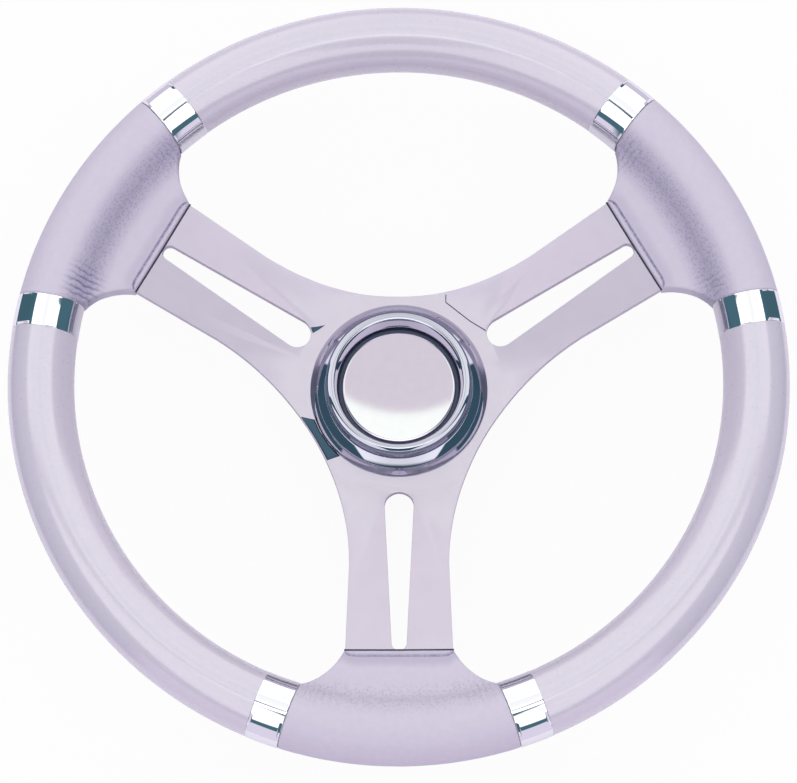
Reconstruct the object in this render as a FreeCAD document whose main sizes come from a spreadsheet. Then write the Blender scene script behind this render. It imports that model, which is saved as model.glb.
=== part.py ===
import FreeCAD, Part
import math
import os

import Sketcher
from FreeCAD import Placement, Rotation, Vector

# A three-spoke boat steering wheel. The origin is the centre of the hub's
# rear face, +Z runs along the shaft towards the driver, and the single
# spoke points along -Y. All lengths are in millimetres.

doc = FreeCAD.newDocument("BoatSteeringWheel")

SIZES = [
    ("rim_outer_dia", 350.0, "outside of the rim"),
    ("rim_tube_dia", 29.7, "thickness of the rim"),
    ("core_dia", 10.0, "steel ring inside the rim"),
    ("dish", 25.5, "rim centre plane above the front of the plate's hub area"),
    ("hub_height", 38.0, "rear face of the hub to the back of the plate"),
    ("plate_thickness", 4.0, "pressed spoke plate"),
    ("spoke_level_length", 10.93, "level end of a spoke, up to the middle of the tube"),
    ("bend_circle_dia", 96.0, "circle on which the spokes bend up"),
    ("neck_distance", 44.5, "hub centre to the nearest edge between two spokes"),
    ("spoke_waist_width", 44.6, "a spoke at its narrowest"),
    ("spoke_flare", 2.0, "angle of each spoke side beyond its waist, degrees"),
    ("slot_start", 47.5, "hub centre to the inner end of a slot"),
    ("slot_end_gap", 0.6, "outer end of a slot to the edge of the grip"),
    ("slot_inner_dia", 13.2, "round inner end of a slot"),
    ("slot_outer_dia", 6.7, "round outer end of a slot"),
    ("plate_bore_dia", 44.0, "hole in the middle of the plate"),
    ("grip_reach", 36.35, "middle of the rim's tube to the edge of a grip"),
    ("grip_cover", 2.2, "skin of a grip over each face of the plate"),
    ("grip_margin", 0.3, "grip beyond each side of the plate at the seam"),
    ("grip_flare_radius", 29.7, "hollow sides of a grip"),
    ("grip_heel", 0.8, "end of a hollow side, in from the rim's inner edge"),
    ("grip_valley_radius", 9.0, "round valley between web and tube"),
    ("grip_edge_radius", 1.8, "rounded edge at the seam"),
    ("band_angle", 20.1, "middle of a chrome band from its spoke, degrees"),
    ("band_length", 15.0, "chrome band along the rim"),
    ("band_wall", 2.0, "thickness of a chrome band"),
    ("band_proud", 0.15, "chrome band above the rim"),
    ("spigot_gap", 0.4, "between the two spigots under a band"),
    ("hub_rear_dia", 48.0, "rear face of the hub"),
    ("hub_collar_height", 7.0, "straight part at the rear of the hub"),
    ("hub_flare_radius", 30.0, "hollow flank of the hub"),
    ("flange_dia", 78.0, "hub flange under the plate"),
    ("flange_thickness", 8.0, "hub flange"),
    ("hub_edge_radius", 1.5, "rounded edges of the hub"),
    ("spigot_height", 6.0, "hub spigot above its flange"),
    ("shaft_dia", 19.05, "large end of the shaft taper"),
    ("taper_ratio", 12.0, "length in which the bore narrows by one"),
    ("taper_length", 30.0, "tapered bore, up to the seat of the nut"),
    ("nut_pocket_dia", 36.0, "pocket for the shaft nut"),
    ("key_width", 4.76, "keyway in the bore"),
    ("key_depth", 2.3, "keyway beyond the large end of the bore"),
    ("screw_circle_dia", 64.0, "circle of the plate screws"),
    ("screw_count", 6.0, "plate screws"),
    ("screw_dia", 5.0, "plate screw thread"),
    ("screw_head_dia", 9.2, "countersunk head"),
    ("screw_length", 11.5, "plate screw with its head"),
    ("screw_clearance", 0.1, "round a screw, on the radius"),
    ("socket_flats", 3.0, "hexagon socket in a screw head"),
    ("socket_depth", 1.8, "hexagon socket in a screw head"),
    ("bezel_foot_dia", 80.8, "foot of the chrome ring"),
    ("bezel_foot_height", 0.6, "straight foot of the chrome ring"),
    ("bezel_skirt_radius", 12.5, "rounding of the skirt"),
    ("bezel_skirt_height", 8.0, "top of the skirt above the plate"),
    ("bezel_neck_draft", 0.3, "neck above the skirt wider at its foot"),
    ("bezel_height", 15.7, "inner edge of the crest above the plate"),
    ("bezel_crest_width", 4.0, "crest, from edge to edge"),
    ("bezel_crest_fall", 0.7, "outer edge of the crest below its inner edge"),
    ("bezel_crest_radius", 4.2, "rounding of the crest"),
    ("bezel_well_draft", 0.9, "well round the cap wider at its mouth"),
    ("bezel_wall", 2.2, "wall of the chrome ring"),
    ("bezel_clearance", 0.1, "chrome ring round the hub spigot"),
    ("cap_dia", 51.2, "centre cap"),
    ("cap_edge_height", 6.4, "edge of the cap's face above the plate"),
    ("cap_dome", 0.5, "rise of the cap's face to its middle"),
    ("cap_thickness", 2.0, "disc of the centre cap"),
    ("cap_clearance", 0.1, "round the cap's plug"),
    ("gasket_thickness", 1.6, "flat rubber ring under the cap"),
    ("gasket_margin", 2.6, "flat rubber ring beyond the edge of the cap"),
    ("gasket_clearance", 0.1, "round the flat rubber ring"),
    ("plug_length", 9.0, "plug of the cap below its disc"),
    ("plug_wall_thickness", 3.4, "wall of the plug"),
    ("seal_section", 2.0, "rubber ring round the plug"),
    ("seal_room", 0.5, "groove wider than the rubber ring"),
    ("seal_depth", 6.4, "rubber ring below the disc of the cap"),
]

SPOKES = {"left": 150.0, "right": 30.0, "bottom": 270.0}
SEGMENTS = {"top": 90.0, "lower_left": 210.0, "lower_right": 330.0}
BANDS = {
    "band_left_upper": ("left", -1),
    "band_left_lower": ("left", 1),
    "band_right_upper": ("right", 1),
    "band_right_lower": ("right", -1),
    "band_bottom_left": ("bottom", -1),
    "band_bottom_right": ("bottom", 1),
}


class Size:
    """A length or angle that keeps its number beside its formula."""

    def __init__(self, value, text):
        self.value = value
        self.text = text

    def joined(self, sign, other, value):
        return Size(value, f"({self.text} {sign} {other.text})")

    def __add__(self, other):
        other = as_size(other)
        return self.joined("+", other, self.value + other.value)

    def __sub__(self, other):
        other = as_size(other)
        return self.joined("-", other, self.value - other.value)

    def __mul__(self, other):
        other = as_size(other)
        return self.joined("*", other, self.value * other.value)

    def __truediv__(self, other):
        other = as_size(other)
        return self.joined("/", other, self.value / other.value)

    def __radd__(self, other):
        return as_size(other) + self

    def __rsub__(self, other):
        return as_size(other) - self

    def __rmul__(self, other):
        return as_size(other) * self

    def __neg__(self):
        return 0 - self


def as_size(number):
    if isinstance(number, Size):
        return number
    return Size(float(number), repr(float(number)))


def root(amount):
    return Size(math.sqrt(amount.value), f"sqrt({amount.text})")


def sine(degrees):
    degrees = as_size(degrees)
    return Size(math.sin(math.radians(degrees.value)), f"sin({degrees.text})")


def cosine(degrees):
    degrees = as_size(degrees)
    return Size(math.cos(math.radians(degrees.value)), f"cos({degrees.text})")


def write_sheet():
    """Writes the driving sizes and gives each of them back by name."""
    sheet = doc.addObject("Spreadsheet::Sheet", "Sizes")
    named = {}
    for row, (alias, value, note) in enumerate(SIZES, start=1):
        sheet.set(f"A{row}", alias)
        sheet.set(f"B{row}", str(value))
        sheet.setAlias(f"B{row}", alias)
        sheet.set(f"C{row}", note)
        named[alias] = Size(value, f"Sizes.{alias}")
    doc.recompute()
    return named


size = write_sheet()

# Levels and radii that several pieces share.
rim_radius = (size["rim_outer_dia"] - size["rim_tube_dia"]) / 2
tube_radius = size["rim_tube_dia"] / 2
core_radius = size["core_dia"] / 2
seam_distance = rim_radius - size["grip_reach"]
plate_back = size["hub_height"]
plate_front = plate_back + size["plate_thickness"]
rim_level = plate_front + size["dish"]
spoke_run = rim_radius - size["spoke_level_length"] - size["bend_circle_dia"] / 2
slope_rise = (size["dish"] + size["plate_thickness"] / 2) / spoke_run
slope_cosine = as_size(1) / root(1 + slope_rise * slope_rise)
slope_sine = slope_rise * slope_cosine
plate_bore_radius = size["plate_bore_dia"] / 2
band_radius = tube_radius + size["band_proud"]
spigot_radius = band_radius - size["band_wall"]
half_band = size["band_length"] / 2
spigot_gap_angle = size["spigot_gap"] / 2 / rim_radius * (180 / math.pi)
nut_pocket_radius = size["nut_pocket_dia"] / 2
cap_seat = plate_front + size["cap_edge_height"] - size["cap_thickness"]
gasket_seat = cap_seat - size["gasket_thickness"]
gasket_radius = size["cap_dia"] / 2 + size["gasket_margin"]
well_radius = gasket_radius + size["gasket_clearance"]
collar_radius = plate_bore_radius + size["bezel_clearance"]
screw_circle = size["screw_circle_dia"] / 2
screw_radius = size["screw_dia"] / 2
screw_hole_radius = screw_radius + size["screw_clearance"]
head_radius = size["screw_head_dia"] / 2


def turned(angle):
    return Placement(Vector(0, 0, 0), Rotation(Vector(0, 0, 1), angle))


def bind(thing, prop, amount):
    """Sets a property to a size and ties it to the sheet."""
    amount = as_size(amount)
    setattr(thing, prop, amount.value)
    thing.setExpression(prop, amount.text)


def lift(thing, level):
    thing.Placement = Placement(Vector(0, 0, level.value), Rotation())
    thing.setExpression("Placement.Base.z", level.text)


def new_body(name, angle=0.0):
    body = doc.addObject("PartDesign::Body", name)
    body.Label = name
    body.Placement = turned(angle)
    return body


def origin_part(body, role):
    """Finds an origin plane or axis of a body by its role."""
    for feature in body.Origin.OriginFeatures:
        if feature.Role == role:
            return feature
    raise ValueError(role)


def flat(point):
    return Vector(as_size(point[0]).value, as_size(point[1]).value, 0)


def hold_length(sketch, kind, *places, amount):
    """Adds a driving dimension that follows the sheet."""
    at = sketch.addConstraint(Sketcher.Constraint(kind, *places, amount.value))
    sketch.setExpression(f"Constraints[{at}]", amount.text)


def hold_point(sketch, curve, end, point):
    """Holds one point of a curve. A coordinate of 0 lies on an axis."""
    for axis, kind, amount in ((-2, "DistanceX", point[0]), (-1, "DistanceY", point[1])):
        if isinstance(amount, Size):
            hold_length(sketch, kind, -1, 1, curve, end, amount=amount)
        else:
            sketch.addConstraint(Sketcher.Constraint("PointOnObject", curve, end, axis))


def arc_between(start, end, radius, turn):
    """The shorter arc from start to end, anticlockwise where turn is 1."""
    chord = end - start
    reach = math.sqrt(max(radius**2 - (chord.Length / 2) ** 2, 0.0))
    across = Vector(-chord.y, chord.x, 0).normalize()
    centre = start + chord * 0.5 + across * (turn * reach)
    ends = (start, end) if turn == 1 else (end, start)
    first, last = (math.atan2(p.y - centre.y, p.x - centre.x) for p in ends)
    return Part.ArcOfCircle(Part.Circle(centre, Vector(0, 0, 1), radius), first, last)


def draw_loop(sketch, corners):
    """Draws a closed outline. Straight lines join its corners, but a corner
    that carries a radius and a turn is reached along such an arc."""
    curves = []
    for index, corner in enumerate(corners):
        start, end = flat(corners[index - 1]), flat(corner)
        if len(corner) == 2:
            curves.append((sketch.addGeometry(Part.LineSegment(start, end)), 1, 2))
            continue
        radius, turn = corner[2], corner[3]
        arc = sketch.addGeometry(arc_between(start, end, radius.value, turn))
        curves.append((arc, 1, 2) if turn == 1 else (arc, 2, 1))
        hold_length(sketch, "Radius", arc, amount=radius)
    for index, corner in enumerate(corners):
        curve, _, end = curves[index]
        following, start, _ = curves[(index + 1) % len(corners)]
        joint = Sketcher.Constraint("Coincident", curve, end, following, start)
        sketch.addConstraint(joint)
        hold_point(sketch, curve, end, corner)


def draw_circle(sketch, centre, radius):
    circle = Part.Circle(flat(centre), Vector(0, 0, 1), radius.value)
    curve = sketch.addGeometry(circle)
    hold_length(sketch, "Radius", curve, amount=radius)
    hold_point(sketch, curve, 3, centre)


def new_sketch(body, name, role, loops=(), circles=(), level=None):
    sketch = body.newObject("Sketcher::SketchObject", name)
    sketch.AttachmentSupport = [(origin_part(body, role), "")]
    sketch.MapMode = "FlatFace"
    if level is not None:
        sketch.AttachmentOffset = Placement(Vector(0, 0, level.value), Rotation())
        sketch.setExpression("AttachmentOffset.Base.z", level.text)
    for corners in loops:
        draw_loop(sketch, corners)
    for centre, radius in circles:
        draw_circle(sketch, centre, radius)
    return sketch


def turn_round(body, kind, name, loops=(), circles=(), angle=None, axis_at=None):
    """Turns an outline, drawn as radius and height, about the shaft axis or
    about a parallel axis through axis_at. With an angle it turns by half of
    it to each side, and otherwise all the way round."""
    sketch = new_sketch(body, name + "_section", "XZ_Plane", loops, circles)
    feature = body.newObject("PartDesign::" + kind, name)
    feature.Profile = sketch
    feature.ReferenceAxis = (sketch, ["V_Axis"])
    if axis_at is not None:
        ends = Vector(axis_at.value, 0, 0), Vector(axis_at.value, 1, 0)
        line = sketch.addGeometry(Part.LineSegment(*ends), True)
        hold_point(sketch, line, 1, (axis_at, 0))
        sketch.addConstraint(Sketcher.Constraint("Vertical", line))
        hold_length(sketch, "DistanceY", line, 1, line, 2, amount=as_size(1))
        feature.ReferenceAxis = (sketch, ["Axis0"])
    if angle is not None:
        feature.Midplane = True
        bind(feature, "Angle", angle)
    return feature


def cut_through(body, name, loops=(), circles=()):
    """Cuts an outline, drawn in plan, right through the piece."""
    sketch = new_sketch(body, name + "_outline", "XY_Plane", loops, circles)
    feature = body.newObject("PartDesign::Pocket", name)
    feature.Profile = sketch
    feature.Reversed = True
    feature.Type = 1
    return feature


def keep_inside(body, name, corners):
    """Cuts away everything outside an outline drawn in plan."""
    far = size["rim_outer_dia"]
    frame = [(far, far), (-far, far), (-far, -far), (far, -far)]
    return cut_through(body, name, [frame, corners])


def repeat_round(body, features, count):
    """Repeats features evenly round the shaft axis."""
    pattern = body.newObject("PartDesign::PolarPattern", features[0].Name + "_ring")
    pattern.Originals = features
    pattern.Axis = (origin_part(body, "Z_Axis"), [""])
    pattern.Angle = 360.0
    bind_count(pattern, as_size(count))
    body.Tip = pattern
    return pattern


def bind_count(pattern, count):
    pattern.Occurrences = int(count.value)
    pattern.setExpression("Occurrences", count.text)


def round_edges(body, name, radius, chosen):
    """Rounds the edges of a body's last feature that a test picks."""
    doc.recompute()
    base = body.Tip
    edges = enumerate(base.Shape.Edges, start=1)
    names = [f"Edge{at}" for at, edge in edges if chosen(edge)]
    feature = body.newObject("PartDesign::Fillet", name)
    feature.Base = (base, names)
    bind(feature, "Radius", radius)
    return feature


def ring_edge(radius, level):
    """A test for the round edge of one radius at one level."""

    def is_at(edge):
        circle = edge.Curve
        if not isinstance(circle, Part.Circle):
            return False
        centre = circle.Center
        off_level = abs(centre.z - level.value)
        return abs(circle.Radius - radius.value) < 1e-4 and off_level < 1e-4

    return is_at


def mirrored(corner):
    return (corner[0], -corner[1])


# The spoke plate is pressed from one sheet. Its hub area is flat, its spokes
# rise on a cone and level out where their hollowed ends meet the core ring.
# Each opening between two spokes is one arc between two nearly straight sides.


def plate_section():
    thickness = size["plate_thickness"]
    slant = thickness / slope_cosine
    bend = size["bend_circle_dia"] / 2
    level_front = rim_level + thickness / 2
    level_back = rim_level - thickness / 2
    weld_radius = rim_radius - root(core_radius * core_radius - thickness * thickness / 4)
    return [
        (0, plate_back),
        (bend + (slant - thickness) / slope_rise, plate_back),
        (bend + (level_back - plate_front + slant) / slope_rise, level_back),
        (weld_radius, level_back),
        (weld_radius, level_front, core_radius, -1),
        (bend + (level_front - plate_front) / slope_rise, level_front),
        (bend, plate_front),
        (0, plate_front),
    ]


half_waist = size["spoke_waist_width"] / 2
sixty_sine = sine(60)
gap_radius = (size["neck_distance"] * sixty_sine - half_waist) / (1 - sixty_sine)
waist_distance = (size["neck_distance"] + gap_radius) / 2
flare_rise = sine(size["spoke_flare"]) / cosine(size["spoke_flare"])


def spoke_half_width(distance):
    """Half the width of a spoke at a distance beyond its waist."""
    return half_waist + (distance - waist_distance) * flare_rise


def gap_outline():
    """The opening between two spokes, with its middle along X."""

    def on_side(distance):
        half = spoke_half_width(distance)
        along = distance / 2 + half * sixty_sine
        return along, distance * sixty_sine - half / 2

    near, far = on_side(waist_distance), on_side(size["rim_outer_dia"])
    return [(*near, gap_radius, -1), far, mirrored(far), mirrored(near)]


def slot_outline():
    """The tapered slot in a spoke that runs along -X."""
    inner, outer = size["slot_inner_dia"] / 2, size["slot_outer_dia"] / 2
    inner_at = size["slot_start"] + inner
    outer_at = seam_distance - size["slot_end_gap"] - outer
    lean = (inner - outer) / (outer_at - inner_at)
    width = root(1 - lean * lean)
    wide = (-(inner_at + inner * lean), inner * width)
    narrow = (-(outer_at + outer * lean), outer * width)
    return [
        (*wide, inner, 1),
        narrow,
        (*mirrored(narrow), outer, 1),
        mirrored(wide),
        (-size["slot_start"], 0, inner, 1),
    ]


def make_spoke_plate():
    body = new_body("spoke_plate", SEGMENTS["top"])
    turn_round(body, "Revolution", "pressing", [plate_section()])
    cut_through(body, "centre_hole", circles=[((0, 0), plate_bore_radius)])
    gap = cut_through(body, "gap", [gap_outline()])
    slot = cut_through(body, "slot", [slot_outline()])
    repeat_round(body, [gap, slot], 3)
    sink_end = plate_front - (head_radius - screw_hole_radius)
    countersink = turn_round(body, "Groove", "countersink", [[
        (screw_circle, plate_front),
        (screw_circle + head_radius, plate_front),
        (screw_circle + screw_hole_radius, sink_end),
        (screw_circle + screw_hole_radius, plate_back),
        (screw_circle, plate_back),
    ]], axis_at=screw_circle)
    repeat_round(body, [countersink], size["screw_count"])
    return body


# The core ring is a bent and welded steel rod, and the plate is welded to it.


def make_rim_core():
    ring = doc.addObject("Part::Torus", "rim_core")
    ring.Label = "rim_core"
    bind(ring, "Radius1", rim_radius)
    bind(ring, "Radius2", core_radius)
    lift(ring, rim_level)
    return ring


# The rim is moulded on the core: three smooth segments between the spokes
# and three grips over the spoke ends. Turned-down spigots at their ends
# carry the chrome bands, whose ends are square to the rim.


def band_edge(distance, side_angle, offset):
    """A point on a line parallel to the middle plane of a band."""
    along, across = cosine(side_angle), sine(side_angle)
    return distance * along + offset * across, distance * across - offset * along


def make_segment(name, angle):
    body = new_body("rim_segment_" + name, angle)
    span = SEGMENTS["top"] - SPOKES["right"] - size["band_angle"]
    reach = size["rim_outer_dia"]
    apex = half_band / sine(span)
    upper = band_edge(reach, span, half_band)
    turn_round(body, "Revolution", name + "_tube",
               circles=[((rim_radius, rim_level), tube_radius)], angle=span * 2)
    keep_inside(body, name + "_ends", [(apex, 0), upper, mirrored(upper)])
    turn_round(body, "Revolution", name + "_spigots",
               circles=[((rim_radius, rim_level), spigot_radius)],
               angle=(span - spigot_gap_angle) * 2)
    turn_round(body, "Groove", name + "_channel",
               circles=[((rim_radius, rim_level), core_radius)])
    return body


def grip_section():
    """Section of a grip: a web over both faces of the plate that runs
    through two round valleys into the tube of the rim."""
    valley = size["grip_valley_radius"]
    reach = tube_radius + valley
    start = size["bend_circle_dia"] / 2
    depth = size["plate_thickness"] + size["grip_cover"]

    def valley_ends(offset, side):
        """Where a valley leaves the web and where it meets the tube. The
        offset is that of the web from the front of the plate."""
        along = (rim_radius - start) * slope_cosine + size["dish"] * slope_sine
        above = size["dish"] * slope_cosine - (rim_radius - start) * slope_sine
        gap = (above - offset) * side
        foot = along - root(reach * reach - (valley - gap) * (valley - gap))
        share = tube_radius / reach
        on_tube_along = along + (foot - along) * share
        on_tube_above = above + (offset + valley * side - above) * share
        return on_plate(foot, offset), on_plate(on_tube_along, on_tube_above)

    def on_plate(along, above):
        radius = start + along * slope_cosine - above * slope_sine
        return radius, plate_front + along * slope_sine + above * slope_cosine

    front_web, front_tube = valley_ends(size["grip_cover"], 1)
    back_web, back_tube = valley_ends(-depth, -1)
    web_start = (seam_distance - start) / slope_cosine - depth * 2
    return [
        on_plate(web_start, size["grip_cover"]),
        on_plate(web_start, -depth),
        back_web,
        (*back_tube, valley, -1),
        (rim_radius, rim_level - tube_radius, tube_radius, 1),
        (rim_radius + tube_radius, rim_level, tube_radius, 1),
        (rim_radius, rim_level + tube_radius, tube_radius, 1),
        (*front_tube, tube_radius, 1),
        (*front_web, valley, -1),
    ]


def grip_outline():
    """A grip in plan: straight at the seam, with hollow sides that run out
    to the chrome bands."""
    seam = seam_distance
    heel = rim_radius - tube_radius + size["grip_heel"]
    heel_distance = root(heel * heel - half_band * half_band)
    seam_end = (seam, spoke_half_width(seam) + size["grip_margin"])
    side_end = band_edge(heel_distance, size["band_angle"], half_band)
    outside = band_edge(size["rim_outer_dia"], size["band_angle"], half_band)
    flare = size["grip_flare_radius"]
    return [
        seam_end,
        (*side_end, flare, 1),
        outside,
        mirrored(outside),
        mirrored(side_end),
        (*mirrored(seam_end), flare, 1),
    ]


def make_grip(name, angle, plate):
    body = new_body("grip_body_" + name, angle)
    seam = seam_distance.value
    turn_round(body, "Revolution", name + "_web", [grip_section()],
               angle=size["band_angle"] * 2)
    keep_inside(body, name + "_sides", grip_outline())

    def at_seam(edge):
        on_seam = all(abs(v.Point.x - seam) < 1e-3 for v in edge.Vertexes)
        return on_seam and edge.Length > size["spoke_waist_width"].value / 2

    round_edges(body, name + "_lip", size["grip_edge_radius"], at_seam)
    turn_round(body, "Revolution", name + "_grip_spigots",
               circles=[((rim_radius, rim_level), spigot_radius)],
               angle=(size["band_angle"] - spigot_gap_angle) * 2)
    turn_round(body, "Groove", name + "_grip_channel",
               circles=[((rim_radius, rim_level), core_radius)])
    grip = doc.addObject("Part::Cut", "grip_" + name)
    grip.Label = "grip_" + name
    grip.Base = body
    grip.Tool = plate
    return grip


def make_band(name, spoke, side):
    angle = SPOKES[spoke] + side * size["band_angle"]
    body = new_body(name)
    body.Placement = turned(angle.value)
    body.setExpression("Placement.Rotation.Angle", angle.text)
    reach = rim_radius + size["rim_tube_dia"]
    middle = (rim_radius, rim_level)
    turn_round(body, "Revolution", name + "_ring",
               circles=[(middle, band_radius), (middle, spigot_radius)],
               angle=size["band_angle"])
    keep_inside(body, name + "_ends", [
        (reach, half_band), (0, half_band), (0, -half_band), (reach, -half_band)])
    return body


# The hub is turned from a casting. Its tapered bore takes the shaft, the nut
# pulls down on the floor of the pocket, and the plate sits on its flange
# round the spigot. The bore's mouth is the rear face.


def make_hub():
    body = new_body("hub", SEGMENTS["top"])
    shaft_radius = size["shaft_dia"] / 2
    narrow_radius = shaft_radius - size["taper_length"] / size["taper_ratio"] / 2
    rear_radius = size["hub_rear_dia"] / 2
    flange_radius = size["flange_dia"] / 2
    flange_back = plate_back - size["flange_thickness"]
    spigot_top = plate_back + size["spigot_height"]
    turn_round(body, "Revolution", "hub_turning", [[
        (shaft_radius, 0),
        (rear_radius, 0),
        (rear_radius, size["hub_collar_height"]),
        (flange_radius, flange_back, size["hub_flare_radius"], -1),
        (flange_radius, plate_back),
        (plate_bore_radius, plate_back),
        (plate_bore_radius, spigot_top),
        (nut_pocket_radius, spigot_top),
        (nut_pocket_radius, size["taper_length"]),
        (narrow_radius, size["taper_length"]),
    ]])
    hole = cut_through(body, "screw_hole", circles=[((screw_circle, 0), screw_hole_radius)])
    repeat_round(body, [hole], size["screw_count"])
    key_half = size["key_width"] / 2
    key_top = shaft_radius + size["key_depth"]
    cut_through(body, "keyway", [[
        (key_half, 0), (key_half, key_top), (-key_half, key_top), (-key_half, 0)]])

    def is_outer(edge):
        at_rear = ring_edge(rear_radius, as_size(0))
        return at_rear(edge) or ring_edge(flange_radius, flange_back)(edge)

    round_edges(body, "hub_rounding", size["hub_edge_radius"], is_outer)
    return body


def make_hub_screws():
    """Countersunk screws with hexagon sockets, flush with the plate."""
    body = new_body("hub_screws", SEGMENTS["top"])
    head_end = plate_front - (head_radius - screw_radius)
    tip = plate_front - size["screw_length"]
    screw = turn_round(body, "Revolution", "screw", [[
        (screw_circle, plate_front),
        (screw_circle + head_radius, plate_front),
        (screw_circle + screw_radius, head_end),
        (screw_circle + screw_radius, tip),
        (screw_circle, tip),
    ]], axis_at=screw_circle)
    corner = size["socket_flats"] / 2 / cosine(30)
    upper = [
        (screw_circle + corner * cosine(turn), corner * sine(turn)) for turn in (60, 120)]
    tips = [(screw_circle + corner, 0), (screw_circle - corner, 0)]
    hexagon = [tips[0], *upper, tips[1], mirrored(upper[1]), mirrored(upper[0])]
    sketch = new_sketch(body, "socket_outline", "XY_Plane", [hexagon], level=plate_front)
    socket = body.newObject("PartDesign::Pocket", "socket")
    socket.Profile = sketch
    bind(socket, "Length", size["socket_depth"])
    repeat_round(body, [screw, socket], size["screw_count"])
    return body


# The chrome ring stands on the plate, hides the screws and centres itself on
# the hub spigot. A flat rubber ring lies in its well. The cap sits on that
# and plugs the nut pocket, where a second rubber ring holds it.


def make_hub_bezel():
    body = new_body("hub_bezel")
    wall = size["bezel_wall"]
    foot = size["bezel_foot_dia"] / 2
    foot_top = plate_front + size["bezel_foot_height"]
    inner_edge = well_radius + size["bezel_well_draft"]
    crest = inner_edge + size["bezel_crest_width"]
    neck = crest + size["bezel_neck_draft"]
    neck_level = plate_front + size["bezel_skirt_height"]
    top = plate_front + size["bezel_height"]
    skirt_radius = size["bezel_skirt_radius"]
    turn_round(body, "Revolution", "bezel_ring", [[
        (foot, plate_front),
        (foot, foot_top),
        (neck, neck_level, skirt_radius, 1),
        (crest, top - size["bezel_crest_fall"]),
        (inner_edge, top, size["bezel_crest_radius"], 1),
        (well_radius, gasket_seat),
        (collar_radius, gasket_seat),
        (collar_radius, plate_front),
        (well_radius + wall, plate_front),
        (well_radius + wall, neck_level - wall),
        (neck, neck_level - wall),
        (foot - wall, foot_top, skirt_radius - wall, -1),
        (foot - wall, plate_front),
    ]])
    return body


def make_cap_gasket():
    body = new_body("cap_gasket")
    outer = gasket_radius
    inner = collar_radius + size["gasket_clearance"]
    turn_round(body, "Revolution", "gasket_ring", [[
        (inner, gasket_seat), (outer, gasket_seat), (outer, cap_seat), (inner, cap_seat)]])
    return body


def make_centre_cap():
    body = new_body("centre_cap")
    disc = size["cap_dia"] / 2
    edge = cap_seat + size["cap_thickness"]
    dome = size["cap_dome"]
    dome_radius = (disc * disc + dome * dome) / (dome * 2)
    plug = nut_pocket_radius - size["cap_clearance"]
    plug_end = cap_seat - size["plug_length"]
    groove_floor = nut_pocket_radius - size["seal_section"]
    half_groove = (size["seal_section"] + size["seal_room"]) / 2
    groove_at = cap_seat - size["seal_depth"]
    turn_round(body, "Revolution", "cap_turning", [[
        (0, cap_seat),
        (plug - size["plug_wall_thickness"], cap_seat),
        (plug - size["plug_wall_thickness"], plug_end),
        (plug, plug_end),
        (plug, groove_at - half_groove),
        (groove_floor, groove_at - half_groove),
        (groove_floor, groove_at + half_groove),
        (plug, groove_at + half_groove),
        (plug, cap_seat),
        (disc, cap_seat),
        (disc, edge),
        (0, edge + dome, dome_radius, 1),
    ]])
    return body


def make_cap_seal():
    ring = doc.addObject("Part::Torus", "cap_seal")
    ring.Label = "cap_seal"
    section = size["seal_section"] / 2
    bind(ring, "Radius1", nut_pocket_radius - section)
    bind(ring, "Radius2", section)
    lift(ring, cap_seat - size["seal_depth"])
    return ring


def make_all():
    plate = make_spoke_plate()
    pieces = [plate, make_rim_core()]
    pieces += [make_segment(name, angle) for name, angle in SEGMENTS.items()]
    pieces += [make_grip(name, angle, plate) for name, angle in SPOKES.items()]
    pieces += [make_band(name, spoke, side) for name, (spoke, side) in BANDS.items()]
    pieces += [make_hub(), make_hub_screws(), make_hub_bezel()]
    pieces += [make_cap_gasket(), make_centre_cap(), make_cap_seal()]
    return pieces


def check_document(pieces):
    doc.recompute()
    for thing in doc.Objects:
        if "Invalid" in thing.State or "Error" in thing.State:
            raise RuntimeError(f"{thing.Label}: {thing.State}")
    for piece in pieces:
        shape = piece.Shape
        if shape.isNull() or not shape.isValid() or not shape.Solids:
            raise RuntimeError(f"{piece.Label} has no valid shape")


pieces = make_all()
check_document(pieces)
os.makedirs("parts", exist_ok=True)
for piece in pieces:
    piece.Shape.exportStep(f"parts/{piece.Label}.step")
    solids = len(piece.Shape.Solids)
    print(f"{piece.Label}: {solids} solid(s), {piece.Shape.Volume / 1000:.2f} cm3")
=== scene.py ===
import math

import bmesh
import bpy
from mathutils import Matrix, Vector, noise


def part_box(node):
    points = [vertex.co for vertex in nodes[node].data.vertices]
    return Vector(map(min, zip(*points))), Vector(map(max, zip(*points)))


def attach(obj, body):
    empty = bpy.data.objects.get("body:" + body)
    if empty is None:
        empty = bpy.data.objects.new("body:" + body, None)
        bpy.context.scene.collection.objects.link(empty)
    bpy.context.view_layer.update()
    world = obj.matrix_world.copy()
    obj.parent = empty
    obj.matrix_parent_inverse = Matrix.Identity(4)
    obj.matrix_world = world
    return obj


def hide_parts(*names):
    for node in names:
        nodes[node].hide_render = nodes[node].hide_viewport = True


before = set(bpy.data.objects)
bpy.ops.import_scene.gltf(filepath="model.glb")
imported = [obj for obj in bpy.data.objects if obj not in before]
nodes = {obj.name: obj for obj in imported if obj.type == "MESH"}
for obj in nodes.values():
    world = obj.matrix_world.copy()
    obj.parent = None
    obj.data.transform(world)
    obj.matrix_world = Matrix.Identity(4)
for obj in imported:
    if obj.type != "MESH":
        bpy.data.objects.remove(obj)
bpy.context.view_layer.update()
scene = bpy.context.scene
scene.view_settings.view_transform = "Standard"

# Camera
# A long lens 1.38 m from the middle of the rim, tilted a little towards the
# bottom spoke, as in the photograph.
MM = 0.001
IMAGE_WIDTH = 797
FOCAL_PIXELS = 3083.7
SENSOR_WIDTH = 36.0
CAMERA_DISTANCE = 1381 * MM
CAMERA_TURN, CAMERA_TILT, CAMERA_ROLL = -0.504, -14.815, 0.247
AIM_BELOW_CENTRE_PIXELS = 15.4

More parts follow.
